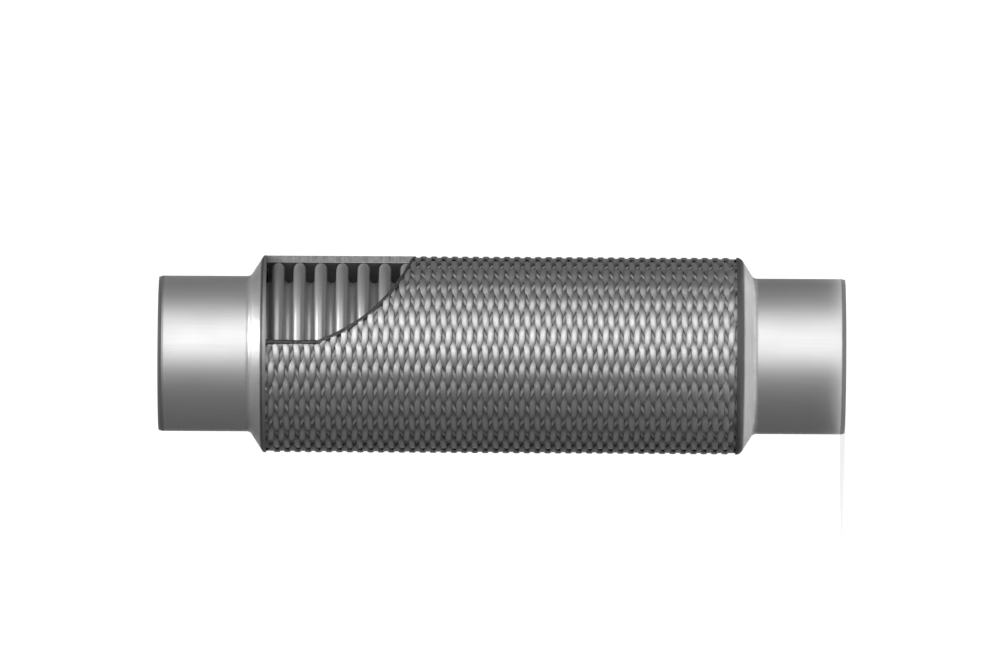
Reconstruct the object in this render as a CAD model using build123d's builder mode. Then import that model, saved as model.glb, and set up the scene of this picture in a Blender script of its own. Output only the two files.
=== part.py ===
from build123d import *
from math import cos, pi, radians, sin, tan
import os

# Exhaust flex pipe, standing on its lower end. Z runs along the pipe, with the lower end face at Z = 0.
# Sizes are in millimetres. A depth is measured along Z from the nearer end face, inwards.

# Whole pipe
overall_length = 280.0
fit = 0.05  # radial gap between pieces that are pressed together before welding

# Tube stubs at both ends, necked down where the cap and the inner pieces seat
tube_diameter = 63.5
tube_wall = 1.5
neck_step = 0.5
neck_overhang = 1.6  # how far the neck runs in past the backing ring
rim_chamfer_length = 1.5
rim_chamfer_height = 0.4
bore_chamfer = 0.3

# Pressed end caps: a cone from the neck up to the braid, then a short skirt over the braid's edge
cap_depth = 37.0  # depth of the cap's small edge
cap_wall = 1.0
cap_angle = 57.5  # slope of the cone against the pipe's axis
skirt_length = {"upper": 1.3, "lower": 1.8}
shoulder_radius = {"upper": 0.8, "lower": 3.0}
tightest_bend = 0.3  # smallest inner bend of the pressed sheet

# Weld beads, which fill the corner over the neck between stub and cap
weld_leg = 1.2
weld_face_radius = 2.6  # the bead's face is slightly hollow

# Cuff sleeves, between the stub's neck and the bellows' cuff
sleeve_wall = 0.65
cuff_setback = 0.2  # from the start of the neck's bore to the cuffs, sleeves and liner

# Bellows: U-shaped convolutions between two plain cuffs
bellows_wall = 0.5
convolution_height = 8.1
crest_spacing = 8.7  # nominal, from crest to crest
first_crest_setback = 5.9  # from the cap's corner to the middle of the first crest

# Interlock liner: strip wound with a square lock, between two plain bands
liner_clearance = 0.6  # between the liner and the bellows' roots
liner_strip = 0.6  # thickness of the locked strip
liner_turn = 6.0  # nominal length of one turn
liner_band_length = 5.5

# Outer braid: the strands of both hands cross at the crowns, and slits lie between the crossings
braid_clearance = 0.3  # between the bellows' crests and the braid
slit_wall = 1.6  # thickness of the braid at a slit
crown_rise = 1.25  # height of a crown above the slits
strands_each_way = 16
crown_spacing = 4.27  # nominal, from crown to crown along the pipe
edge_gap = 0.1  # between the cap's skirt and the first crowns
pressed_wall = 1.2  # thickness of the braid where it is pressed flat under the cap
pressed_setback = 2.0  # from the neck to the pressed braid's edge

# Backing rings, which clamp the braid to the inside of the caps
backing_wall = 1.0
backing_setback = 1.4  # from the ring's outer edge to the braid's bore

# Inspection window, cut through the near half of the braid only, from the upper cap's skirt downwards
window_edge = 4.7  # X of the straight edge
window_straight_length = 21.3  # length of the straight edge
window_side_length = 60.6  # length of the window along the side of the pipe
window_bulge = 5.3  # how far the curved edge swells past a straight line
overrun = 5.0  # how far a cutting shape runs past what it cuts

# Radii, from the stub inwards and then outwards to the crowns
tube_radius = tube_diameter / 2
bore_radius = tube_radius - tube_wall
neck_radius = tube_radius - neck_step
neck_bore_radius = bore_radius - neck_step
foot_radius = neck_radius + fit
root_radius = neck_bore_radius - fit - sleeve_wall - fit
inner_root_radius = root_radius - bellows_wall
crest_radius = root_radius + convolution_height
liner_radius = inner_root_radius - liner_clearance
step_radius = liner_radius - liner_strip
braid_bore_radius = crest_radius + braid_clearance
slit_radius = braid_bore_radius + slit_wall
crown_radius = slit_radius + crown_rise
cap_radius = crown_radius
slope = radians(cap_angle)

# Layers of the cone from the outside inwards, as insets from the cap's outer face
pressed_outside = cap_wall + fit
pressed_inside = pressed_outside + pressed_wall
backing_outside = pressed_inside + fit
backing_inside = backing_outside + backing_wall
pressed_radius = cap_radius - pressed_outside


def height(end, depth):
    """Z of a point at a depth in from the upper or the lower end face."""
    return depth if end == "lower" else overall_length - depth


def cone_depth(radius, inset):
    """Depth, at a radius, of the cone that lies inset below the cap's outside."""
    return cap_depth + inset / sin(slope) + (radius - foot_radius) / tan(slope)


def point(end, radius, depth):
    """Point in the XZ plane at a radius and a depth."""
    return (radius, height(end, depth))


def cone_point(end, radius, inset):
    """Point in the XZ plane at a radius, on the cone that lies inset below the cap's outside."""
    return (radius, height(end, cone_depth(radius, inset)))


# Depths, from the end face inwards
neck_depth = cap_depth - weld_leg
cuff_depth = neck_depth + neck_step + cuff_setback
tube_depth = cone_depth(foot_radius, backing_inside) + neck_overhang
turns_depth = cuff_depth + liner_band_length
corner_depth = cone_depth(cap_radius, 0)
first_crest_depth = corner_depth + first_crest_setback
skirt_depth = {end: corner_depth + skirt_length[end] for end in ("upper", "lower")}
bend_radius = {end: max(shoulder_radius[end] - cap_wall, tightest_bend) for end in ("upper", "lower")}

os.makedirs("parts", exist_ok=True)

for end in ("upper", "lower"):
    # Tube stub, with a long shallow chamfer round its rim and a small one in its bore
    with BuildPart() as tube_stub:
        with BuildSketch(Plane.XZ):
            with BuildLine():
                Polyline(
                    point(end, bore_radius + bore_chamfer, 0),
                    point(end, tube_radius - rim_chamfer_height, 0),
                    point(end, tube_radius, rim_chamfer_length),
                    point(end, tube_radius, neck_depth),
                    point(end, neck_radius, neck_depth + neck_step),
                    point(end, neck_radius, tube_depth),
                    point(end, neck_bore_radius, tube_depth),
                    point(end, neck_bore_radius, neck_depth + neck_step),
                    point(end, bore_radius, neck_depth),
                    point(end, bore_radius, bore_chamfer),
                    close=True,
                )
            make_face()
        revolve(axis=Axis.Z)
    tube_stub.part.label = f"{end}_tube_stub"
    export_step(tube_stub.part, f"parts/{end}_tube_stub.step")

    # End cap, pressed from one sheet
    with BuildPart() as end_cap:
        with BuildSketch(Plane.XZ) as cap_section:
            with BuildLine():
                inside_radius = cap_radius - cap_wall
                Polyline(
                    cone_point(end, foot_radius, 0),
                    cone_point(end, cap_radius, 0),
                    point(end, cap_radius, skirt_depth[end]),
                    point(end, inside_radius, skirt_depth[end]),
                    cone_point(end, inside_radius, cap_wall),
                    cone_point(end, foot_radius, cap_wall),
                    close=True,
                )
            make_face()
            shoulder = cap_section.vertices().sort_by_distance(cone_point(end, cap_radius, 0))[0]
            fillet(shoulder, shoulder_radius[end])
            bend = cap_section.vertices().sort_by_distance(cone_point(end, inside_radius, cap_wall))[0]
            fillet(bend, bend_radius[end])
        revolve(axis=Axis.Z)
    end_cap.part.label = f"{end}_end_cap"
    export_step(end_cap.part, f"parts/{end}_end_cap.step")

    # Weld bead, from the shoulder of the stub over the neck to the foot of the cap
    with BuildPart() as weld_bead:
        with BuildSketch(Plane.XZ):
            with BuildLine():
                stub_toe = point(end, tube_radius, neck_depth)
                cap_toe = cone_point(end, tube_radius + weld_leg * sin(slope), 0)
                Polyline(
                    cap_toe,
                    cone_point(end, foot_radius, 0),
                    point(end, neck_radius, cap_depth),
                    point(end, neck_radius, neck_depth + neck_step),
                    stub_toe,
                )
                if end == "lower":
                    RadiusArc(stub_toe, cap_toe, weld_face_radius)
                else:
                    RadiusArc(cap_toe, stub_toe, weld_face_radius)
            make_face()
        revolve(axis=Axis.Z)
    weld_bead.part.label = f"{end}_weld_bead"
    export_step(weld_bead.part, f"parts/{end}_weld_bead.step")

    # Backing ring, a cone that lies under the pressed edge of the braid
    with BuildPart() as backing_ring:
        with BuildSketch(Plane.XZ):
            with BuildLine():
                backing_radius = braid_bore_radius - backing_setback
                Polyline(
                    cone_point(end, foot_radius, backing_outside),
                    cone_point(end, backing_radius, backing_outside),
                    cone_point(end, backing_radius, backing_inside),
                    cone_point(end, foot_radius, backing_inside),
                    close=True,
                )
            make_face()
        revolve(axis=Axis.Z)
    backing_ring.part.label = f"{end}_backing_ring"
    export_step(backing_ring.part, f"parts/{end}_backing_ring.step")

    # Cuff sleeve, which fills the step between the bellows' cuff and the neck's bore
    with BuildPart() as cuff_sleeve:
        with BuildSketch(Plane.XZ):
            with BuildLine():
                Polyline(
                    point(end, root_radius + fit, cuff_depth),
                    point(end, neck_bore_radius - fit, cuff_depth),
                    point(end, neck_bore_radius - fit, tube_depth),
                    point(end, root_radius + fit, tube_depth),
                    close=True,
                )
            make_face()
        revolve(axis=Axis.Z)
    cuff_sleeve.part.label = f"{end}_cuff_sleeve"
    export_step(cuff_sleeve.part, f"parts/{end}_cuff_sleeve.step")

# Bellows: a wall of even thickness that swings between roots and crests in half circles
crest_span = overall_length - 2 * first_crest_depth
spaces = round(crest_span / crest_spacing)
crest_pitch = crest_span / spaces
crest_heights = [first_crest_depth + crest_pitch * number for number in range(spaces + 1)]
bottom, top = height("lower", cuff_depth), height("upper", cuff_depth)


def draw_bellows_skin(root, crest, crest_arc):
    """Draw one skin of the bellows, given its root and crest radii and the radius of its crest arcs."""
    root_arc = crest_pitch / 2 - crest_arc
    Line((root, bottom), (root, crest_heights[0] - crest_pitch / 2))
    for middle in crest_heights:
        CenterArc((root + root_arc, middle - crest_pitch / 2), root_arc, 180, -90)
        Line((root + root_arc, middle - crest_arc), (crest - crest_arc, middle - crest_arc))
        CenterArc((crest - crest_arc, middle), crest_arc, -90, 180)
        Line((crest - crest_arc, middle + crest_arc), (root + root_arc, middle + crest_arc))
        CenterArc((root + root_arc, middle + crest_pitch / 2), root_arc, -90, -90)
    Line((root, crest_heights[-1] + crest_pitch / 2), (root, top))


with BuildPart() as bellows:
    with BuildSketch(Plane.XZ):
        with BuildLine():
            mean_arc = crest_pitch / 4
            draw_bellows_skin(root_radius, crest_radius, mean_arc + bellows_wall / 2)
            draw_bellows_skin(inner_root_radius, crest_radius - bellows_wall, mean_arc - bellows_wall / 2)
            Line((inner_root_radius, bottom), (root_radius, bottom))
            Line((inner_root_radius, top), (root_radius, top))
        make_face()
    revolve(axis=Axis.Z)
bellows.part.label = "bellows"
export_step(bellows.part, "parts/bellows.step")

# Interlock liner: the locked strip steps in and out once a turn, and its bands seat in the cuffs
turns_bottom, turns_top = height("lower", turns_depth), height("upper", turns_depth)
turns = round((turns_top - turns_bottom) / liner_turn)
turn = (turns_top - turns_bottom) / turns
groove_middles = [turns_bottom + turn * (number + 0.5) for number in range(turns)]
band_radius = inner_root_radius - fit


def stepped_skin(land, groove, half_groove):
    """Corners of one skin of the liner, from the lower band to the upper one."""
    corners = []
    for middle in groove_middles:
        corners += [(land, middle - half_groove), (groove, middle - half_groove)]
        corners += [(groove, middle + half_groove), (land, middle + half_groove)]
    return corners


with BuildPart() as interlock_liner:
    with BuildSketch(Plane.XZ):
        with BuildLine():
            lower_band = [(step_radius, bottom), (band_radius, bottom), (band_radius, turns_bottom)]
            upper_band = [(band_radius, turns_top), (band_radius, top), (step_radius, top)]
            outer_skin = stepped_skin(liner_radius, step_radius, turn / 4 - liner_strip / 2)
            inner_skin = stepped_skin(step_radius, step_radius - liner_strip, turn / 4 + liner_strip / 2)
            outer_skin = [(liner_radius, turns_bottom)] + outer_skin + [(liner_radius, turns_top)]
            Polyline(lower_band + outer_skin + upper_band + inner_skin[::-1], close=True)
        make_face()
    revolve(axis=Axis.Z)
interlock_liner.part.label = "interlock_liner"
export_step(interlock_liner.part, "parts/interlock_liner.step")

# Outer braid. Its skin is a net of crowns and slits that take turns round and along the pipe, so that each
# crown is the top of a spindle that is long round the pipe and narrow along it.
rows = 2 * strands_each_way
weave_depth = {end: skirt_depth[end] + edge_gap for end in ("upper", "lower")}
weave_bottom, weave_top = height("lower", weave_depth["lower"]), height("upper", weave_depth["upper"])
columns = 2 * round((weave_top - weave_bottom) / crown_spacing)


def net_point(row, column):
    """Point of the woven skin: a crown where row and column add up to an even number, else a slit."""
    radius = crown_radius if (row + column) % 2 == 0 else slit_radius
    turned = 2 * pi * row / rows
    level = weave_bottom + (weave_top - weave_bottom) * column / columns
    return Vector(radius * cos(turned), radius * sin(turned), level)


def net_facets(row, column):
    """The two facets of one cell, which meet along the line between its slits."""
    near, far = net_point(row, column), net_point(row + 1, column + 1)
    beside, above = net_point(row + 1, column), net_point(row, column + 1)
    if (row + column) % 2 == 0:
        halves = (near, beside, above), (far, above, beside)
    else:
        halves = (beside, far, near), (above, near, far)
    return [Face(Wire.make_polygon(half)) for half in halves]


skin = [facet for row in range(rows) for column in range(columns) for facet in net_facets(row, column)]
for column in (0, columns):
    skin.append(Face(Wire.make_polygon([net_point(row, column) for row in range(rows)])))
woven_bar = Solid(Shell(skin))

with BuildPart() as outer_braid:
    add(woven_bar)
    with BuildSketch(Plane.XY.offset(weave_bottom)):
        Circle(braid_bore_radius)
    extrude(amount=weave_top - weave_bottom, mode=Mode.SUBTRACT)

    # Edges, pressed flat between the caps and the backing rings
    for end in ("upper", "lower"):
        with BuildSketch(Plane.XZ) as edge_section:
            with BuildLine():
                edge_radius = neck_radius + pressed_setback
                Polyline(
                    point(end, braid_bore_radius, weave_depth[end]),
                    point(end, pressed_radius, weave_depth[end]),
                    cone_point(end, pressed_radius, pressed_outside),
                    cone_point(end, edge_radius, pressed_outside),
                    cone_point(end, edge_radius, pressed_inside),
                    cone_point(end, braid_bore_radius, pressed_inside),
                    close=True,
                )
            make_face()
            bend_point = cone_point(end, pressed_radius, pressed_outside)
            fillet(edge_section.vertices().sort_by_distance(bend_point)[0], bend_radius[end])
        revolve(axis=Axis.Z)

    # Inspection window, cut straight through the near half as far as the pipe's middle plane
    with BuildSketch(Plane.XZ):
        with BuildLine():
            window_top = skirt_depth["upper"]
            outside = crown_radius + overrun
            straight_end = point("upper", window_edge, window_top + window_straight_length)
            side_end = point("upper", crown_radius, window_top + window_side_length)
            SagittaArc(side_end, straight_end, window_bulge)
            Polyline(
                straight_end,
                point("upper", window_edge, window_top),
                point("upper", outside, window_top),
                point("upper", outside, window_top + window_side_length),
                side_end,
            )
        make_face()
    extrude(amount=outside, mode=Mode.SUBTRACT)
outer_braid.part.label = "outer_braid"
export_step(outer_braid.part, "parts/outer_braid.step")
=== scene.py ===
import bmesh
import bpy
import math
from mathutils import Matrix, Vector


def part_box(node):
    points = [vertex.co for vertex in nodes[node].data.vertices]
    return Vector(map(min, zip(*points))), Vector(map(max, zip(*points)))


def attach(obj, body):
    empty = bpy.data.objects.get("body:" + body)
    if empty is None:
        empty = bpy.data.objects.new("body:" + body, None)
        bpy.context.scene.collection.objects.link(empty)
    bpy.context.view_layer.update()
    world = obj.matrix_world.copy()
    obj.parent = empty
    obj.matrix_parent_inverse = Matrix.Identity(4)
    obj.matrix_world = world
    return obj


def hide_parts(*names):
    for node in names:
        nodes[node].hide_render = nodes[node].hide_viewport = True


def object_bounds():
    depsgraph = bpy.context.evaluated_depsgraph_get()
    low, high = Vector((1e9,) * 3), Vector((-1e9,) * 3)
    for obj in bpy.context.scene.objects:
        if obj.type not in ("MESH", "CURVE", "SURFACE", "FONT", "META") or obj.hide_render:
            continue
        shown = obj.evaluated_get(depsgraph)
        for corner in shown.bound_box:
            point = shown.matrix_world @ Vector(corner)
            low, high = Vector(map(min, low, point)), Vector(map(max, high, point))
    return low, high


# Exhaust flex pipe, standing on its lower end: Z runs along the pipe, and the window faces -Y and +X.
# Everything is in metres.
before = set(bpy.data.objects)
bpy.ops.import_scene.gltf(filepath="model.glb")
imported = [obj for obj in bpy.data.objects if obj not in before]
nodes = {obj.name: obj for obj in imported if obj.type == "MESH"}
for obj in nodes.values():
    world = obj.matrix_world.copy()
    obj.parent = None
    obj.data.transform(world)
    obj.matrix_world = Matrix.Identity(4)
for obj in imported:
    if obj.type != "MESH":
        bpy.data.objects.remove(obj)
cad_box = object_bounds()

MM = 0.001
BODY = "root"

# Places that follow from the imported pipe
pipe_bottom, pipe_top = cad_box[0].z, cad_box[1].z
crown_radius = cad_box[1].x
skirt_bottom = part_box("lower_end_cap")[1].z
skirt_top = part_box("upper_end_cap")[0].z
crest_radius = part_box("bellows")[1].x
tube_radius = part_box("upper_tube_stub")[1].x

# Outer braid: 16 strands each way, which cross at the crowns of a regular net
STRANDS = 16
WIRES = 5
braid_clearance = 0.3 * MM
edge_gap = 0.1 * MM
crown_spacing = 4.27 * MM
strand_width = 2.6 * MM
strand_thickness = 0.9 * MM
flute_depth = 0.08 * MM
crown_spread = 0.06  # how much wider a strand is where it lies on top
straightening = 0.9  # how far it turns square to the pipe there; 1 is fully
weave_clearance = 0.03 * MM
unevenness = 0.16 * MM
inner_layer_wall = 0.95 * MM
steps_per_column = 5
dive_length = 1.5 * MM
dive_depth = 0.2 * MM
dive_overrun = 0.3 * MM

# Window, cut through the near half of the braid
window_edge = 4.7 * MM
window_straight_length = 21.3 * MM
window_side_length = 60.6 * MM
window_bulge = 5.3 * MM
bead_radius = 1.1 * MM
bead_waviness = 0.6
strip_depth = 0.6 * MM
strip_rounding = 0.2 * MM
edge_set_back = 0.05 * MM  # how far bead and strip stay inside the crowns

# Photograph: 1000 by 660 pixels, with the pipe lying on its side and its top end at the left
pixel = 0.4084 * MM
image_width, image_height = 1000, 660
left_end_pixel = 159.2
axis_row_pixel = 355.0
axis_slope = 0.0053
camera_distance = 6.0
sensor_width = 36.0


# Node writing

class Value:
    """A number that flows through a node tree. Sums and products of it become math nodes."""

    def __init__(self, socket):
        self.socket = socket

    def math(self, operation, *others):
        node = self.socket.id_data.nodes.new("ShaderNodeMath")
        node.operation = operation
        for socket, content in zip(node.inputs, (self, *others)):
            feed(socket, content)
        return Value(node.outputs[0])

    def __add__(self, other):
        return self.math("ADD", other)

    def __sub__(self, other):
        return self.math("SUBTRACT", other)

    def __mul__(self, other):
        return self.math("MULTIPLY", other)

    def __truediv__(self, other):
        return self.math("DIVIDE", other)

    def power(self, exponent):
        return self.math("POWER", exponent)

    def clamped(self):
        return self.math("MAXIMUM", 0.0).math("MINIMUM", 1.0)

    def eased(self):
        """Smooth step of a number from 0 to 1."""
        share = self.clamped()
        return share * share * (share * -2.0 + 3.0)


def feed(socket, content):
    """Link a socket to what flows in, or set it to a plain number, colour or thing."""
    if isinstance(content, Value):
        content = content.socket
    if isinstance(content, bpy.types.NodeSocket):
        socket.id_data.links.new(content, socket)
    else:
        socket.default_value = content


def add_node(tree, kind, inputs=None, **settings):
    node = tree.nodes.new(kind)
    for name, setting in settings.items():
        setattr(node, name, setting)
    for name, content in (inputs or {}).items():
        feed(node.inputs[name], content)
    return node


def new_group(name, kind, inputs, outputs):
    """A node group with named sockets. Returns the tree, its inputs as values, and its output node."""
    tree = bpy.data.node_groups.new(name, kind)
    for title, (socket_type, default) in inputs.items():
        socket = tree.interface.new_socket(title, in_out="INPUT", socket_type=socket_type)
        if default is not None:
            socket.default_value = default
    for title, socket_type in outputs.items():
        tree.interface.new_socket(title, in_out="OUTPUT", socket_type=socket_type)
    source = tree.nodes.new("NodeGroupInput")
    given = {title: Value(source.outputs[title]) for title in inputs}
    return tree, given, tree.nodes.new("NodeGroupOutput")


def combined(tree, x, y, z):
    return add_node(tree, "ShaderNodeCombineXYZ", {"X": x, "Y": y, "Z": z}).outputs[0]


def separated(tree, vector):
    node = add_node(tree, "ShaderNodeSeparateXYZ", {"Vector": vector})
    return [Value(socket) for socket in node.outputs]


# Shader groups

def steel_finish_group():
    """Drawn or polished steel: fine streaks round or along the pipe, soft clouds, and a mask of painted
    shade that darkens and dulls it.
    """
    inputs = {
        "Light": ("NodeSocketColor", (0.6, 0.6, 0.6, 1)),
        "Dark": ("NodeSocketColor", (0.4, 0.4, 0.4, 1)),
        "Painted Shade Color": ("NodeSocketColor", (0.1, 0.1, 0.1, 1)),
        "Painted Shade": ("NodeSocketFloat", 0.0),
        "Lines Around": ("NodeSocketFloat", 4.0),
        "Lines Along": ("NodeSocketFloat", 2500.0),
        "Cloud Scale": ("NodeSocketFloat", 60.0),
        "Smoothest": ("NodeSocketFloat", 0.3),
        "Roughest": ("NodeSocketFloat", 0.45),
        "Relief": ("NodeSocketFloat", 0.1),
    }
    outputs = {"Color": "NodeSocketColor", "Roughness": "NodeSocketFloat", "Normal": "NodeSocketVector"}
    relief_depth = 0.05 * MM
    contrast_gain = 3.0
    dulling = 0.12  # roughness that full painted shade adds
    tree, given, result = new_group("steel_finish", "ShaderNodeTree", inputs, outputs)
    place = add_node(tree, "ShaderNodeTexCoord").outputs["Object"]
    x, y, z = separated(tree, place)
    radius = (x * x + y * y).power(0.5)
    around = given["Lines Around"]
    wound = combined(tree, x / radius * around, y / radius * around, z * given["Lines Along"])
    streaks = add_node(tree, "ShaderNodeTexNoise", {"Vector": wound, "Scale": 1.0, "Detail": 4.0})
    clouds = add_node(
        tree, "ShaderNodeTexNoise", {"Vector": place, "Scale": given["Cloud Scale"], "Detail": 2.0}
    )
    streak, cloud = Value(streaks.outputs[0]), Value(clouds.outputs[0])
    shade = streak * 0.5 + cloud * 0.5
    contrast = ((shade - 0.5) * contrast_gain + 0.5).clamped()
    steel = add_node(tree, "ShaderNodeMix", data_type="RGBA")
    feed(steel.inputs[0], contrast)
    feed(steel.inputs[6], given["Light"])
    feed(steel.inputs[7], given["Dark"])
    coloured = add_node(tree, "ShaderNodeMix", data_type="RGBA")
    feed(coloured.inputs[0], given["Painted Shade"])
    feed(coloured.inputs[6], steel.outputs[2])
    feed(coloured.inputs[7], given["Painted Shade Color"])
    bump = add_node(
        tree, "ShaderNodeBump", {"Strength": given["Relief"], "Distance": relief_depth, "Height": streak}
    )
    feed(result.inputs["Color"], coloured.outputs[2])
    spread = given["Roughest"] - given["Smoothest"]
    roughness = given["Smoothest"] + spread * contrast + given["Painted Shade"] * dulling
    feed(result.inputs["Roughness"], roughness.clamped())
    feed(result.inputs["Normal"], bump.outputs[0])
    return tree


def band_group():
    """Mask of a band of painted shade at a height along the pipe or at a radius from its axis, with a
    broken edge.
    """
    inputs = {
        "Middle": ("NodeSocketFloat", 0.0),
        "Half Width": ("NodeSocketFloat", 0.001),
        "Softness": ("NodeSocketFloat", 0.0005),
        "By Radius": ("NodeSocketFloat", 0.0),
        "Scatter": ("NodeSocketFloat", 0.0002),
    }
    tree, given, result = new_group("painted_shade_band", "ShaderNodeTree", inputs, {"Mask": "NodeSocketFloat"})
    place = add_node(tree, "ShaderNodeTexCoord").outputs["Object"]
    x, y, z = separated(tree, place)
    radius = (x * x + y * y).power(0.5)
    where = z + (radius - z) * given["By Radius"]
    noise = add_node(tree, "ShaderNodeTexNoise", {"Vector": place, "Scale": 300.0, "Detail": 3.0})
    shifted = where + (Value(noise.outputs[0]) - 0.5) * given["Scatter"]
    distance = (shifted - given["Middle"]).math("ABSOLUTE")
    inside = (given["Half Width"] - distance) / given["Softness"] + 0.5
    feed(result.inputs["Mask"], inside.eased())
    return tree


steel_finish = steel_finish_group()
painted_shade_band = band_group()


# Materials

def steel_material(name, finish, bands=(), drawn=0.0, metallic=1.0, unshaded_crowns=False):
    """A steel whose finish group takes the given values, darkened by painted shade where one of the bands
    lies.

    Drawn steel has fine lines along the pipe, which spread its highlights round the pipe. Steel with
    unshaded crowns takes painted shade everywhere except where its mesh marks a strand's crown.
    """
    material = bpy.data.materials.new(name)
    material.use_nodes = True
    tree = material.node_tree
    shader = tree.nodes["Principled BSDF"]
    shader.inputs["Metallic"].default_value = metallic
    if drawn:
        shader.inputs["Anisotropic"].default_value = drawn
        tangent = add_node(tree, "ShaderNodeTangent", direction_type="RADIAL", axis="Z")
        feed(shader.inputs["Tangent"], tangent.outputs[0])
    group = add_node(tree, "ShaderNodeGroup", node_tree=steel_finish)
    for title, content in finish.items():
        feed(group.inputs[title], content)
    painted_shade = None
    # Each band is a strip of painted shade.
    for band, strength in bands:
        mask = add_node(tree, "ShaderNodeGroup", node_tree=painted_shade_band)
        for title, content in band.items():
            feed(mask.inputs[title], content)
        part = Value(mask.outputs["Mask"]) * strength
        painted_shade = part if painted_shade is None else painted_shade.math("MAXIMUM", part)
    if unshaded_crowns:
        # Painted shade on the braid wherever the crown mask is low.
        mark = add_node(tree, "ShaderNodeAttribute", attribute_name="unshaded_crowns")
        painted_shade = Value(mark.outputs["Fac"]) * -1.0 + 1.0
    if painted_shade is not None:
        feed(group.inputs["Painted Shade"], painted_shade)
    feed(shader.inputs["Base Color"], group.outputs["Color"])
    feed(shader.inputs["Roughness"], group.outputs["Roughness"])
    feed(shader.inputs["Normal"], group.outputs["Normal"])
    return material


def grey(level):
    return (level, level, level, 1.0)


def stub_steel():
    """Satin drawn tube, with a dark ring of painted shade at each cut end."""
    finish = {
        "Light": grey(0.77), "Dark": grey(0.71), "Painted Shade Color": grey(0.10),
        "Lines Around": 60.0, "Lines Along": 25.0, "Cloud Scale": 45.0,
        "Smoothest": 0.32, "Roughest": 0.36, "Relief": 0.05,
    }
    # Painted shade at the cut ends; the lower ring is darker, painted over the floor's reflection in the
    # lower rim.
    upper_rim_shade = {"Middle": pipe_top - 1.5 * MM, "Half Width": 0.8 * MM, "Softness": 0.6 * MM}
    lower_rim_shade = {"Middle": pipe_bottom + 0.9 * MM, "Half Width": 0.9 * MM, "Softness": 0.6 * MM}
    bands = [(upper_rim_shade, 0.45), (lower_rim_shade, 0.85)]
    return steel_material("stub_steel", finish, bands, drawn=0.9)


def cap_steel(name, light, bands, metallic):
    """Pressed cap with a bright cone and bands of painted shade."""
    finish = {
        "Light": grey(light), "Dark": grey(light * 0.87), "Painted Shade Color": grey(0.07),
        "Lines Around": 3.0, "Lines Along": 1500.0, "Cloud Scale": 90.0,
        "Smoothest": 0.42, "Roughest": 0.50, "Relief": 0.05,
    }
    return steel_material(name, finish, bands, metallic=metallic)


def outer_band(dark_from, softness):
    """Band that covers everything outside a radius."""
    reach = 6 * MM
    return {
        "Middle": dark_from + reach, "Half Width": reach, "Softness": softness,
        "By Radius": 1.0, "Scatter": 0.4 * MM,
    }


def upper_cap_steel():
    """Crisp corner, with a dark line of painted shade along it and a skirt darkened and dulled by painted
    shade.
    """
    corner = {
        "Middle": pipe_top - 42.3 * MM, "Half Width": 0.6 * MM, "Softness": 0.4 * MM, "Scatter": 0.25 * MM,
    }
    skirt = outer_band(40.1 * MM, 0.2 * MM)
    return cap_steel("upper_cap_steel", 0.74, [(corner, 0.9), (skirt, 0.45)], metallic=0.9)


def lower_cap_steel():
    """Round shoulder, darkened towards the skirt by painted shade; its steel is lighter and less metallic
    than the upper cap's, as painted light for the lower end.
    """
    shoulder_shade = outer_band(38.3 * MM, 1.6 * MM)
    return cap_steel("lower_cap_steel", 0.82, [(shoulder_shade, 0.9)], metallic=0.5)


def weld_steel(name, light, metallic):
    finish = {
        "Light": grey(light), "Dark": grey(light * 0.83), "Lines Around": 90.0, "Lines Along": 400.0,
        "Cloud Scale": 250.0, "Smoothest": 0.3, "Roughest": 0.5, "Relief": 0.25,
    }
    return steel_material(name, finish, metallic=metallic)


def bellows_steel():
    finish = {
        "Light": grey(0.61), "Dark": grey(0.54), "Lines Around": 2.0, "Lines Along": 1800.0,
        "Cloud Scale": 60.0, "Smoothest": 0.43, "Roughest": 0.49, "Relief": 0.02,
    }
    return steel_material("bellows_steel", finish, metallic=0.75)


def braid_wire():
    # The dark colour is painted shade at the strands' edges, where they pass under, and where they dive
    # under the caps.
    finish = {
        "Light": grey(0.88), "Dark": grey(0.75), "Painted Shade Color": grey(0.34),
        "Lines Around": 40.0, "Lines Along": 300.0,
        "Cloud Scale": 120.0, "Smoothest": 0.37, "Roughest": 0.45, "Relief": 0.08,
    }
    return steel_material("braid_wire", finish, unshaded_crowns=True)


# Pale, non-metallic colour: painted light that lifts the shade in the troughs behind the bellows and in
# the slits between strands.
def inner_layer_steel():
    finish = {
        "Light": grey(0.85), "Dark": grey(0.75), "Lines Around": 60.0, "Lines Along": 600.0,
        "Cloud Scale": 120.0, "Smoothest": 0.6, "Roughest": 0.75, "Relief": 0.2,
    }
    return steel_material("inner_layer_steel", finish, metallic=0.0)


def fused_steel(name, level):
    finish = {
        "Light": grey(level), "Dark": grey(level * 0.6), "Lines Around": 60.0, "Lines Along": 900.0,
        "Cloud Scale": 400.0, "Smoothest": 0.6, "Roughest": 0.75, "Relief": 0.3,
    }
    return steel_material(name, finish)


def inner_steel(name, level):
    finish = {
        "Light": grey(level), "Dark": grey(level * 0.8), "Lines Around": 3.0, "Lines Along": 1500.0,
        "Cloud Scale": 70.0, "Smoothest": 0.36, "Roughest": 0.5, "Relief": 0.08,
    }
    return steel_material(name, finish)


# Shapes grown by geometry nodes

def grown(name, tree, settings, cutter=None):
    """Run a geometry tree with its inputs set, cut the result if asked, and keep it as a plain mesh."""
    piece = bpy.data.objects.new(name, bpy.data.meshes.new(name))
    bpy.context.scene.collection.objects.link(piece)
    growth = piece.modifiers.new("growth", "NODES")
    growth.node_group = tree
    for item in tree.interface.items_tree:
        if item.in_out == "INPUT":
            growth[item.identifier] = settings[item.name]
    if cutter is not None:
        cut = piece.modifiers.new("cut", "BOOLEAN")
        cut.operation = "DIFFERENCE"
        cut.solver = "MANIFOLD"
        cut.object = cutter
    graph = bpy.context.evaluated_depsgraph_get()
    mesh = bpy.data.meshes.new_from_object(piece.evaluated_get(graph), depsgraph=graph)
    piece.modifiers.clear()
    piece.data = mesh
    mesh.name = name
    return piece


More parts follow.
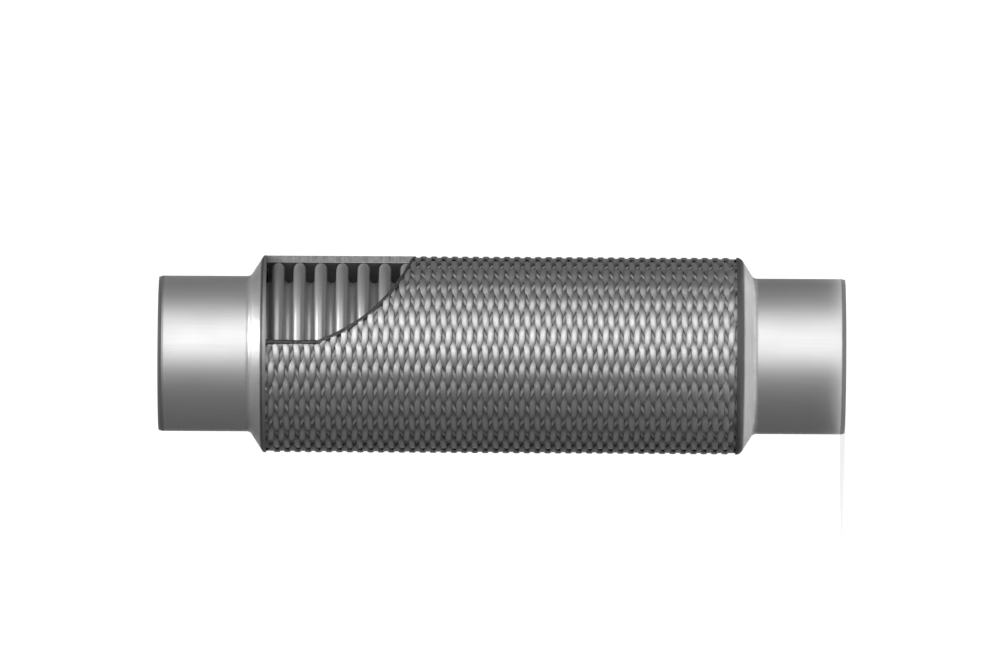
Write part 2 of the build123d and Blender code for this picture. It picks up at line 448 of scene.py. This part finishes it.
def finish_geometry(tree, geometry, given, result, smooth_angle=180.0):
    """Shade a geometry smooth up to an angle, with flat ends, give it its material and put it out."""
    real = add_node(tree, "GeometryNodeRealizeInstances", {"Geometry": geometry})
    bend = Value(add_node(tree, "GeometryNodeInputMeshEdgeAngle").outputs["Unsigned Angle"])
    soft = bend.math("LESS_THAN", math.radians(smooth_angle))
    sides = Value(add_node(tree, "GeometryNodeInputMeshFaceNeighbors").outputs["Vertex Count"])
    faces = add_node(tree, "GeometryNodeSetShadeSmooth", {"Geometry": real.outputs[0]})
    most_sides = 4
    feed(faces.inputs["Shade Smooth"], sides.math("LESS_THAN", most_sides + 0.5))
    smooth = add_node(tree, "GeometryNodeSetShadeSmooth", {"Geometry": faces.outputs[0]}, domain="EDGE")
    feed(smooth.inputs["Shade Smooth"], soft)
    painted = add_node(
        tree, "GeometryNodeSetMaterial", {"Geometry": smooth.outputs[0], "Material": given["Material"]}
    )
    feed(result.inputs["Geometry"], painted.outputs[0])


def strand_tree():
    """Every second strand of one hand: a fluted ribbon that winds round the pipe, over and under."""
    inputs = {
        "Hand": ("NodeSocketFloat", 1.0),
        "First Strand": ("NodeSocketInt", 0),
        "Strands": ("NodeSocketInt", STRANDS // 2),
        "Lower End": ("NodeSocketFloat", 0.0),
        "Upper End": ("NodeSocketFloat", 0.1),
        "Lower Skirt": ("NodeSocketFloat", 0.0),
        "Upper Skirt": ("NodeSocketFloat", 0.1),
        "First Crossing": ("NodeSocketFloat", 0.0),
        "Column Spacing": ("NodeSocketFloat", 0.002),
        "Row Angle": ("NodeSocketFloat", 0.2),
        "Middle Radius": ("NodeSocketFloat", 0.04),
        "Wave Height": ("NodeSocketFloat", 0.0007),
        "Dive Radius": ("NodeSocketFloat", 0.038),
        "Dive Length": ("NodeSocketFloat", 0.002),
        "Width": ("NodeSocketFloat", 0.0027),
        "Thickness": ("NodeSocketFloat", 0.0013),
        "Wires": ("NodeSocketInt", WIRES),
        "Flute Depth": ("NodeSocketFloat", 0.0001),
        "Crown Spread": ("NodeSocketFloat", 0.3),
        "Straightening": ("NodeSocketFloat", 0.8),
        "Steps": ("NodeSocketInt", 400),
        "Unevenness": ("NodeSocketFloat", 0.0001),
        "Material": ("NodeSocketMaterial", None),
    }
    outputs = {"Geometry": "NodeSocketGeometry"}
    tree, given, result = new_group("braid_strands", "GeometryNodeTree", inputs, outputs)
    top_points = given["Wires"] * 4.0
    section_points = top_points + 4.0
    tube = add_node(
        tree, "GeometryNodeMeshCylinder",
        {"Vertices": section_points, "Side Segments": given["Steps"], "Radius": 1.0, "Depth": 1.0},
        fill_type="NGON",
    )
    x, y, along = separated(tree, add_node(tree, "GeometryNodeInputPosition").outputs[0])

    # Section: wires side by side on a rounded top, and a plain rounded underside
    turn_share = (y.math("ARCTAN2", x) / math.tau + 1.0).math("FRACT")
    corner = (turn_share * section_points).math("ROUND")
    on_top = corner.math("LESS_THAN", top_points + 0.5)
    top_across = corner / (top_points * 0.5) - 1.0
    under_across = (corner - top_points) * -0.5 + 1.0
    across = under_across + (top_across - under_across) * on_top
    roundness = 2.2  # 2 is an ellipse, and more is squarer
    power_left = (across.math("ABSOLUTE").power(roundness) * -1.0 + 1.0).math("MAXIMUM", 0.0)
    rounding = power_left.power(1 / roundness)
    half_thickness = given["Thickness"] * 0.5
    wire_share = ((across + 1.0) * 0.5 * given["Wires"]).math("FRACT") * 2.0 - 1.0
    flute = wire_share * wire_share * given["Flute Depth"]
    top_rise = half_thickness * rounding - flute
    under_rise = half_thickness * rounding * -1.0
    rise = under_rise + (top_rise - under_rise) * on_top

    # Path: a helix whose radius swings over and under at each crossing and dives below the skirts
    level = given["Lower End"] + (given["Upper End"] - given["Lower End"]) * (along + 0.5)
    column = (level - given["First Crossing"]) / given["Column Spacing"]
    turned = column * given["Row Angle"] * given["Hand"]
    over = (column * math.pi).math("COSINE") * given["Hand"]
    aside = (column * math.pi).math("SINE") * given["Hand"]
    free = (level - given["Lower Skirt"]).math("MINIMUM", given["Upper Skirt"] - level)
    lift = (free / given["Dive Length"]).eased()
    woven_radius = given["Middle Radius"] + over * given["Wave Height"]
    path_radius = given["Dive Radius"] + (woven_radius - given["Dive Radius"]) * lift
    rise_per_row = given["Column Spacing"] * (over * given["Straightening"] * -1.0 + 1.0)
    lean = rise_per_row.math("ARCTAN2", given["Row Angle"] * given["Middle Radius"])
    shift = aside * given["Straightening"] * given["Column Spacing"] * (-1 / math.pi)
    narrowest = -0.4
    spread = over.math("MAXIMUM", narrowest) * given["Crown Spread"] + 1.0
    offset = across * given["Width"] * spread * -0.5 * given["Hand"]
    angle = turned - offset * lean.math("SINE") * given["Hand"] / path_radius
    height = level + shift + offset * lean.math("COSINE")
    radius = path_radius + rise
    position = combined(tree, angle.math("COSINE") * radius, angle.math("SINE") * radius, height)
    crown_reach = 0.45  # how far down from a crown the wire stays free of painted shade
    # Mask of the crowns that keep the plain wire colour; painted shade darkens the strand's edges, the
    # parts that pass under, and the ends that dive under the caps.
    unshaded_crowns = (across.math("ABSOLUTE").power(2.0) * -1.0 + 1.0) * (over + crown_reach).clamped() * lift
    marked = add_node(
        tree, "GeometryNodeStoreNamedAttribute",
        {"Geometry": tube.outputs["Mesh"], "Name": "unshaded_crowns", "Value": unshaded_crowns},
        data_type="FLOAT", domain="POINT",
    )
    strand = add_node(
        tree, "GeometryNodeSetPosition", {"Geometry": marked.outputs[0], "Position": position}
    )

    # Copies round the pipe, then a slight unevenness of the whole weave
    places = add_node(tree, "GeometryNodeMeshLine", {"Count": given["Strands"], "Offset": (0.0, 0.0, 0.0)})
    number = Value(add_node(tree, "GeometryNodeInputIndex").outputs[0])
    placed_angle = (number * 2.0 + given["First Strand"]) * given["Row Angle"] * 2.0
    turn = add_node(
        tree, "FunctionNodeAxisAngleToRotation", {"Axis": (0.0, 0.0, 1.0), "Angle": placed_angle}
    )
    copies = add_node(
        tree, "GeometryNodeInstanceOnPoints",
        {"Points": places.outputs[0], "Instance": strand.outputs[0], "Rotation": turn.outputs[0]},
    )
    real = add_node(tree, "GeometryNodeRealizeInstances", {"Geometry": copies.outputs[0]})
    noise = add_node(tree, "ShaderNodeTexNoise", {"Scale": 140.0, "Detail": 1.0})
    feed(noise.inputs["Vector"], add_node(tree, "GeometryNodeInputPosition").outputs[0])
    slip = (Value(noise.outputs[0]) - 0.5) * given["Unevenness"]
    uneven = add_node(tree, "GeometryNodeSetPosition", {"Geometry": real.outputs[0]})
    feed(uneven.inputs["Offset"], combined(tree, 0.0, 0.0, slip))
    finish_geometry(tree, uneven.outputs[0], given, result)
    return tree


def inner_layer_tree():
    """Thin wall under the strands, which closes the slits between them."""
    inputs = {
        "Inner Radius": ("NodeSocketFloat", 0.037),
        "Wall": ("NodeSocketFloat", 0.0003),
        "Lower End": ("NodeSocketFloat", 0.0),
        "Upper End": ("NodeSocketFloat", 0.1),
        "Sides": ("NodeSocketInt", 192),
        "Material": ("NodeSocketMaterial", None),
    }
    outputs = {"Geometry": "NodeSocketGeometry"}
    tree, given, result = new_group("inner_layer", "GeometryNodeTree", inputs, outputs)
    middle_radius = given["Inner Radius"] + given["Wall"] * 0.5
    circle = add_node(
        tree, "GeometryNodeCurvePrimitiveCircle", {"Resolution": given["Sides"], "Radius": middle_radius}
    )
    length = given["Upper End"] - given["Lower End"]
    section = add_node(
        tree, "GeometryNodeCurvePrimitiveQuadrilateral", {"Width": given["Wall"], "Height": length}
    )
    wall = add_node(
        tree, "GeometryNodeCurveToMesh", {"Curve": circle.outputs[0], "Profile Curve": section.outputs[0]}
    )
    lifted = add_node(tree, "GeometryNodeTransform", {"Geometry": wall.outputs[0]})
    middle = (given["Upper End"] + given["Lower End"]) * 0.5
    feed(lifted.inputs["Translation"], combined(tree, 0.0, 0.0, middle))
    finish_geometry(tree, lifted.outputs[0], given, result, smooth_angle=30.0)
    return tree


def window_corners():
    """The three points of the window's curved edge in the XZ plane: its two ends and its middle."""
    corner = Vector((window_edge, 0.0, skirt_top - window_straight_length))
    side_end = Vector((crown_radius, 0.0, skirt_top - window_side_length))
    chord = side_end - corner
    outwards = Vector((chord.z, 0.0, -chord.x)).normalized()
    return corner, (corner + side_end) / 2 + outwards * window_bulge, side_end


def window_cutter():
    """A prism through the near half of the pipe, with the window's outline."""
    corner, middle, side_end = window_corners()
    half_chord = (side_end - corner).length / 2
    arc_radius = (half_chord ** 2 + window_bulge ** 2) / (2 * window_bulge)
    centre = middle + ((corner + side_end) / 2 - middle).normalized() * arc_radius
    half_angle = math.asin(half_chord / arc_radius)
    towards = (middle - centre).normalized()
    sideways = (corner - side_end).normalized()
    arc_steps = 48
    outline = []
    for step in range(arc_steps + 1):
        turned = half_angle * (1 - 2 * step / arc_steps)
        outline.append(centre + (towards * math.cos(turned) + sideways * math.sin(turned)) * arc_radius)
    overrun = 5 * MM
    outline.append(Vector((crown_radius + overrun, 0.0, side_end.z)))
    outline.append(Vector((crown_radius + overrun, 0.0, skirt_top + overrun)))
    outline.append(Vector((window_edge, 0.0, skirt_top + overrun)))
    shape = bmesh.new()
    near = [shape.verts.new(place) for place in outline]
    face = shape.faces.new(near)
    grown_part = bmesh.ops.extrude_face_region(shape, geom=[face])["geom"]
    moved = [part for part in grown_part if isinstance(part, bmesh.types.BMVert)]
    bmesh.ops.translate(shape, verts=moved, vec=(0.0, -(crown_radius + overrun), 0.0))
    bmesh.ops.recalc_face_normals(shape, faces=shape.faces)
    mesh = bpy.data.meshes.new("window_cutter")
    shape.to_mesh(mesh)
    shape.free()
    cutter = bpy.data.objects.new("window_cutter", mesh)
    bpy.context.scene.collection.objects.link(cutter)
    return cutter


def window_bead_tree():
    """Bead along the window's straight and curved edges, laid on a cylinder about the pipe's axis."""
    inputs = {
        "Top": ("NodeSocketVector", (0.0, 0.0, 0.0)),
        "Corner": ("NodeSocketVector", (0.0, 0.0, 0.0)),
        "Middle": ("NodeSocketVector", (0.0, 0.0, 0.0)),
        "Side End": ("NodeSocketVector", (0.0, 0.0, 0.0)),
        "Path Radius": ("NodeSocketFloat", 0.039),
        "Bead Radius": ("NodeSocketFloat", 0.0009),
        "Waviness": ("NodeSocketFloat", 0.2),
        "Material": ("NodeSocketMaterial", None),
    }
    outputs = {"Geometry": "NodeSocketGeometry"}
    tree, given, result = new_group("window_bead", "GeometryNodeTree", inputs, outputs)
    straight = add_node(
        tree, "GeometryNodeCurvePrimitiveLine", {"Start": given["Top"], "End": given["Corner"]}
    )
    curved = add_node(
        tree, "GeometryNodeCurveArc",
        {"Resolution": 64, "Start": given["Corner"], "Middle": given["Middle"], "End": given["Side End"]},
        mode="POINTS",
    )
    both = add_node(tree, "GeometryNodeJoinGeometry")
    tree.links.new(straight.outputs[0], both.inputs[0])
    tree.links.new(curved.outputs[0], both.inputs[0])
    fine = add_node(tree, "GeometryNodeResampleCurve", {"Curve": both.outputs[0], "Count": 160})
    x, _, z = separated(tree, add_node(tree, "GeometryNodeInputPosition").outputs[0])
    held_x = x.math("MINIMUM", given["Path Radius"])
    square = given["Path Radius"] * given["Path Radius"] - held_x * held_x
    y = square.math("MAXIMUM", 0.0).power(0.5) * -1.0
    laid = add_node(tree, "GeometryNodeSetPosition", {"Geometry": fine.outputs[0]})
    feed(laid.inputs["Position"], combined(tree, held_x, y, z))
    noise = add_node(tree, "ShaderNodeTexNoise", {"Scale": 350.0, "Detail": 1.0})
    thickness = (Value(noise.outputs[0]) - 0.5) * given["Waviness"] + 1.0
    section = add_node(
        tree, "GeometryNodeCurvePrimitiveCircle", {"Resolution": 12, "Radius": given["Bead Radius"]}
    )
    tube = add_node(
        tree, "GeometryNodeCurveToMesh",
        {
            "Curve": laid.outputs[0], "Profile Curve": section.outputs[0],
            "Scale": thickness, "Fill Caps": True,
        },
    )
    finish_geometry(tree, tube.outputs[0], given, result)
    return tree


def build_braid(wire):
    """The braid's 32 strands as four pieces, and the thin wall under them, all cut at the window."""
    first_crossing = skirt_bottom + edge_gap
    last_crossing = skirt_top - edge_gap
    columns = 2 * round((last_crossing - first_crossing) / crown_spacing)
    bore_radius = crest_radius + braid_clearance
    layer_radius = bore_radius + inner_layer_wall
    middle_radius = (layer_radius + crown_radius) / 2
    wave_height = (crown_radius - layer_radius - strand_thickness) / 2 - weave_clearance
    settings = {
        "Strands": STRANDS // 2,
        "Lower End": skirt_bottom - dive_overrun,
        "Upper End": skirt_top + dive_overrun,
        "Lower Skirt": skirt_bottom,
        "Upper Skirt": skirt_top,
        "First Crossing": first_crossing,
        "Column Spacing": (last_crossing - first_crossing) / columns,
        "Row Angle": math.pi / STRANDS,
        "Middle Radius": middle_radius,
        "Wave Height": wave_height,
        "Dive Radius": middle_radius - dive_depth,
        "Dive Length": dive_length,
        "Width": strand_width,
        "Thickness": strand_thickness,
        "Wires": WIRES,
        "Flute Depth": flute_depth,
        "Crown Spread": crown_spread,
        "Straightening": straightening,
        "Steps": columns * steps_per_column,
        "Unevenness": unevenness,
        "Material": wire,
    }
    tree = strand_tree()
    cutter = window_cutter()
    pieces = []
    for hand_name, hand in (("right", 1.0), ("left", -1.0)):
        for set_name, first in (("even", 0), ("odd", 1)):
            settings.update({"Hand": hand, "First Strand": first})
            pieces.append(grown(f"braid_{hand_name}_{set_name}_strands", tree, settings, cutter))
    layer_settings = {
        "Inner Radius": bore_radius,
        "Wall": inner_layer_wall,
        "Lower End": skirt_bottom,
        "Upper End": skirt_top,
        "Sides": 192,
        "Material": inner_layer_steel(),
    }
    pieces.append(grown("braid_inner_layer", inner_layer_tree(), layer_settings, cutter))
    bpy.data.objects.remove(cutter)
    return pieces


def build_window_edges():
    """The bead round the window, a fused edge made dark as painted shade of the gap along it, and the
    light strip that closes the cut along the pipe's side.
    """
    corner, middle, side_end = window_corners()
    path_radius = crown_radius - bead_radius * (1 + bead_waviness / 4) - edge_set_back
    settings = {
        "Top": Vector((window_edge, 0.0, skirt_top - edge_gap)),
        "Corner": corner,
        "Middle": middle,
        "Side End": side_end,
        "Path Radius": path_radius,
        "Bead Radius": bead_radius,
        "Waviness": bead_waviness,
        # The bead's dark colour is painted shade of the gap along the window's edge.
        "Material": fused_steel("fused_edge_shade", 0.17),
    }
    bead = grown("window_bead", window_bead_tree(), settings)
    bore_radius = crest_radius + braid_clearance
    shape = bmesh.new()
    bmesh.ops.create_cube(shape, size=1.0)
    size = Vector((crown_radius - bore_radius - 3 * edge_set_back, strip_depth, skirt_top - side_end.z))
    middle_place = Vector((
        bore_radius + edge_set_back + size.x / 2,
        size.y / 2 - edge_set_back,
        (skirt_top + side_end.z) / 2,
    ))
    for point in shape.verts:
        point.co = middle_place + point.co * size
    bmesh.ops.bevel(
        shape, geom=shape.edges[:], offset=strip_rounding, segments=3, affect="EDGES", profile=0.5
    )
    mesh = bpy.data.meshes.new("window_strip")
    shape.to_mesh(mesh)
    shape.free()
    mesh.materials.append(fused_steel("cut_strip", 0.5))
    strip = bpy.data.objects.new("window_strip", mesh)
    bpy.context.scene.collection.objects.link(strip)
    return [bead, strip]


# The pipe

def dress_pipe():
    finishes = {
        "upper_tube_stub": stub_steel(),
        "upper_end_cap": upper_cap_steel(),
        "lower_end_cap": lower_cap_steel(),
        "upper_weld_bead": weld_steel("upper_weld_steel", 0.72, 0.75),
        "lower_weld_bead": weld_steel("lower_weld_steel", 0.80, 0.4),
        "bellows": bellows_steel(),
        "interlock_liner": inner_steel("liner_steel", 0.5),
        "upper_backing_ring": inner_steel("ring_steel", 0.5),
        "outer_braid": braid_wire(),
    }
    finishes["lower_tube_stub"] = finishes["upper_tube_stub"]
    for name in ("lower_backing_ring", "upper_cuff_sleeve", "lower_cuff_sleeve"):
        finishes[name] = finishes["upper_backing_ring"]
    for name, node in nodes.items():
        node.data.materials.clear()
        node.data.materials.append(finishes[name])
    for piece in build_braid(finishes["outer_braid"]) + build_window_edges():
        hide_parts("outer_braid")
        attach(piece, BODY)


# Stage, light and camera

def shown_white(name, lit_color, glow):
    """A pale surface that shows white to the camera and in gloss, and still takes the pipe's shadow."""
    material = bpy.data.materials.new(name)
    material.use_nodes = True
    tree = material.node_tree
    shader = tree.nodes["Principled BSDF"]
    shader.inputs["Base Color"].default_value = grey(lit_color)
    shader.inputs["Roughness"].default_value = 0.9
    shader.inputs["Emission Color"].default_value = grey(1.0)
    path = add_node(tree, "ShaderNodeLightPath")
    seen = Value(path.outputs["Is Camera Ray"]).math("MAXIMUM", Value(path.outputs["Is Glossy Ray"]))
    seen = seen.math("MAXIMUM", Value(path.outputs["Is Transmission Ray"]))
    feed(shader.inputs["Emission Strength"], seen * glow)
    return material


def add_plate(name, corners, material):
    mesh = bpy.data.meshes.new(name)
    mesh.from_pydata([tuple(place) for place in corners], [], [tuple(range(len(corners)))])
    mesh.materials.append(material)
    plate = bpy.data.objects.new(name, mesh)
    bpy.context.scene.collection.objects.link(plate)
    return plate


def build_stage():
    floor_radius = 0.09
    floor_sides = 96
    floor_level = pipe_bottom - 0.05 * MM
    rim = []
    for side in range(floor_sides):
        turned = math.tau * side / floor_sides
        rim.append((floor_radius * math.cos(turned), floor_radius * math.sin(turned), floor_level))
    add_plate("floor", rim, shown_white("floor_white", lit_color=0.6, glow=0.75))
    distance, half_side = 8.0, 0.9
    middle = (pipe_bottom + pipe_top) / 2
    corners = []
    for right, up in ((-1, -1), (1, -1), (1, 1), (-1, 1)):
        corners.append((right * half_side, distance, middle + up * half_side))
    add_plate("backdrop", corners, shown_white("backdrop_white", lit_color=0.8, glow=1.0))


def add_softbox(name, azimuth, elevation, distance, width, height, energy):
    """A soft rectangular lamp that faces the pipe's middle. Azimuth 0 is the camera's side, 90 is +X."""
    lamp = bpy.data.lights.new(name, "AREA")
    lamp.shape = "RECTANGLE"
    lamp.size, lamp.size_y = width, height
    lamp.energy = energy
    turned, raised = math.radians(azimuth), math.radians(elevation)
    level = math.cos(raised)
    away = Vector((math.sin(turned) * level, -math.cos(turned) * level, math.sin(raised)))
    target = Vector((0.0, 0.0, (pipe_bottom + pipe_top) / 2))
    holder = bpy.data.objects.new(name, lamp)
    holder.location = target + away * distance
    holder.rotation_euler = away.to_track_quat("Z", "Y").to_euler()
    holder.visible_camera = False
    bpy.context.scene.collection.objects.link(holder)
    return holder


def build_light():
    world = bpy.data.worlds.new("studio")
    world.use_nodes = True
    background = world.node_tree.nodes["Background"]
    background.inputs["Color"].default_value = grey(0.125)
    background.inputs["Strength"].default_value = 1.0
    bpy.context.scene.world = world
    add_softbox("key_light", azimuth=22, elevation=0, distance=1.6, width=0.9, height=1.2, energy=2.4)
    add_softbox("fill_light", azimuth=26, elevation=0, distance=1.8, width=2.7, height=1.4, energy=12.4)
    add_softbox("top_light", azimuth=38, elevation=60, distance=1.0, width=0.5, height=0.5, energy=6.0)
    add_softbox("back_light", azimuth=183, elevation=0, distance=1.6, width=0.9, height=1.1, energy=4.0)


def build_camera():
    """Long lens, looking along +Y and rolled so that the pipe's top end is at the left."""
    camera = bpy.data.cameras.new("camera")
    camera.sensor_width = sensor_width
    camera.lens = sensor_width * camera_distance / (image_width * pixel)
    camera.clip_end = 50.0
    holder = bpy.data.objects.new("camera", camera)
    centre_z = pipe_top - (image_width / 2 - left_end_pixel) * pixel
    centre_x = (axis_row_pixel - image_height / 2) * pixel
    holder.location = (centre_x, -camera_distance, centre_z)
    holder.rotation_euler = (math.radians(90), math.radians(90) - axis_slope, 0.0)
    bpy.context.scene.collection.objects.link(holder)
    bpy.context.scene.camera = holder


build_camera()
build_light()
build_stage()
dress_pipe()
bpy.context.scene.view_settings.view_transform = "Standard"
